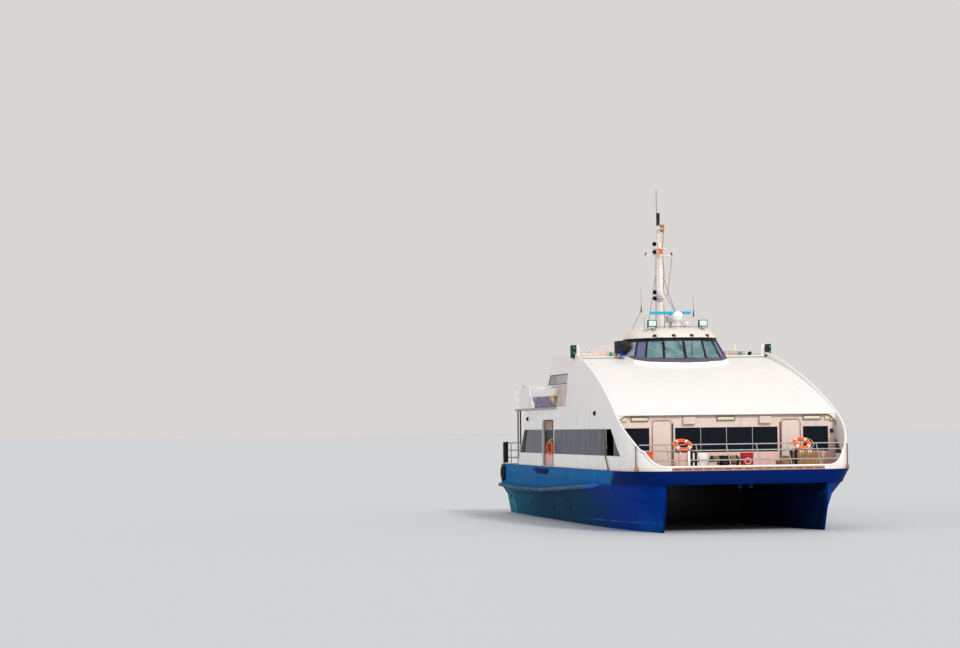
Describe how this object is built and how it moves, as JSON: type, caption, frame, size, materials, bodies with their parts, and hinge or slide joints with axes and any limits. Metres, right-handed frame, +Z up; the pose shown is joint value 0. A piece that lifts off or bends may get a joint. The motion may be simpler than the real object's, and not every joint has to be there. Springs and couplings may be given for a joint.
{
  "type": "passenger ferry",
  "caption": "Twin-hull passenger ferry with a curved canopy over the foredeck, a wheelhouse on its roof, working doors, rudders, propellers and a turning radar.",
  "frame": {"origin": "on the centreline, amidships, at the height of the waterline", "axes": "+X forward to the bow, +Y to port, +Z up"},
  "size_m": [27.35, 9.591, 15.8396],
  "materials": {
    "hull_paint": "royal blue gloss paint, chalky and streaked on the aft quarter",
    "rub_rail": "worn grey rubber with a blue forward end",
    "white_paint": "semi-gloss white marine paint",
    "cabin_white": "warm white semi-gloss paint",
    "deck_paint": "matt non-slip deck paint",
    "tinted_glass": "grey tinted",
    "black_glass": "very dark tinted",
    "pale_glass": "clear with a pale green tint",
    "rubber": "matt black",
    "bare_metal": "painted and bare aluminium tube",
    "bronze": "cast bronze",
    "orange_plastic": "orange shell with white bands",
    "red_paint": "red gloss moulding",
    "sky_blue_paint": "sky blue gloss moulding",
    "box_brown": "weathered tan paint"
  },
  "bodies": {
    "ship": {"hull_port": "hull_paint", "hull_starboard": "hull_paint", "main_deck": "hull_paint", "rub_rail_aft_port": "rub_rail", "rub_rail_forward_port": "rub_rail", "rub_rail_aft_starboard": "rub_rail", "rub_rail_forward_starboard": "rub_rail", "side_wall_port": "white_paint", "side_wall_starboard": "white_paint", "bow_coaming": "white_paint", "side_window_aft_port": "tinted_glass", "side_window_aft_starboard": "tinted_glass", "side_window_forward_port": "tinted_glass", "side_window_forward_starboard": "tinted_glass", "upper_window_port": "tinted_glass", "upper_window_starboard": "tinted_glass", "front_wall": "cabin_white", "front_window_centre": "black_glass", "front_window_port": "black_glass", "front_window_starboard": "black_glass", "canopy": "white_paint", "upper_deck": "deck_paint", "roof_deck": "white_paint", "raft_bay_port": "cabin_white", "raft_bay_starboard": "cabin_white", "aft_wall": "cabin_white", "upper_aft_wall": "cabin_white", "wheelhouse_walls": "white_paint", "wheelhouse_windows": "pale_glass", "wheelhouse_roof": "white_paint", "wheelhouse_floor": "deck_paint", "helm_console": "rubber", "mast": "bare_metal", "radar_pedestal": "bare_metal", "satellite_dome": "white_paint", "foredeck_rail": "bare_metal", "lifebuoy_port": "orange_plastic", "lifebuoy_starboard": "orange_plastic", "aft_rail": "bare_metal", "upper_rail": "white_paint", "aft_stairs": "bare_metal", "life_rafts_port": "white_paint", "life_rafts_starboard": "white_paint", "anchor_windlass": "rubber", "deck_cabinet": "white_paint", "hose_box": "red_paint", "stowage_boxes": "box_brown", "shaft_bracket_port": "bronze", "shaft_bracket_starboard": "bronze"},
    "boarding_door_port": {"boarding_door_port": "cabin_white"},
    "boarding_door_starboard": {"boarding_door_starboard": "cabin_white"},
    "front_door_port": {"front_door_port": "cabin_white"},
    "front_door_starboard": {"front_door_starboard": "cabin_white"},
    "aft_door": {"aft_door": "white_paint"},
    "upper_door": {"upper_door": "white_paint"},
    "radar_scanner": {"radar_scanner": "sky_blue_paint"},
    "propeller_port": {"propeller_port": "bronze"},
    "propeller_starboard": {"propeller_starboard": "bronze"},
    "rudder_port": {"rudder_port": "bare_metal"},
    "rudder_starboard": {"rudder_starboard": "bare_metal"}
  },
  "joints": [
    {"name": "boarding_door_port_slide", "type": "slide", "parent": "ship", "child": "boarding_door_port", "axis": [-1, 0, 0], "range_m": [0, 2.3]},
    {"name": "boarding_door_starboard_slide", "type": "slide", "parent": "ship", "child": "boarding_door_starboard", "axis": [-1, 0, 0], "range_m": [0, 2.3]},
    {"name": "front_door_port_hinge", "type": "hinge", "parent": "ship", "child": "front_door_port", "pos_m": [10.57, 3.05, 3.35], "axis": [0, 0, 1], "range_deg": [0, 100]},
    {"name": "front_door_starboard_hinge", "type": "hinge", "parent": "ship", "child": "front_door_starboard", "pos_m": [10.57, -3.05, 3.35], "axis": [0, 0, -1], "range_deg": [0, 100]},
    {"name": "aft_door_hinge", "type": "hinge", "parent": "ship", "child": "aft_door", "pos_m": [-7.62, 1.33, 3.35], "axis": [0, 0, -1], "range_deg": [0, 100]},
    {"name": "upper_door_hinge", "type": "hinge", "parent": "ship", "child": "upper_door", "pos_m": [-2.52, 1.33, 6], "axis": [0, 0, -1], "range_deg": [0, 100]},
    {"name": "radar_turn", "type": "hinge", "parent": "ship", "child": "radar_scanner", "pos_m": [1.9, 0, 8.9], "axis": [0, 0, 1], "continuous": true},
    {"name": "propeller_port_turn", "type": "hinge", "parent": "ship", "child": "propeller_port", "pos_m": [-12.42, 3.2, -1], "axis": [0.9945, 0, 0.1045], "continuous": true},
    {"name": "propeller_starboard_turn", "type": "hinge", "parent": "ship", "child": "propeller_starboard", "pos_m": [-12.42, -3.2, -1], "axis": [0.9945, 0, 0.1045], "continuous": true},
    {"name": "rudder_port_steer", "type": "hinge", "parent": "ship", "child": "rudder_port", "pos_m": [-13.28, 3.2, -0.9], "axis": [0, 0, 1], "range_deg": [-35, 35]},
    {"name": "rudder_starboard_steer", "type": "hinge", "parent": "ship", "child": "rudder_starboard", "pos_m": [-13.28, -3.2, -0.9], "axis": [0, 0, 1], "range_deg": [-35, 35]}
  ],
  "couplings": [
    {"joint": "rudder_starboard_steer", "follows": "rudder_port_steer", "ratio": 1}
  ]
}
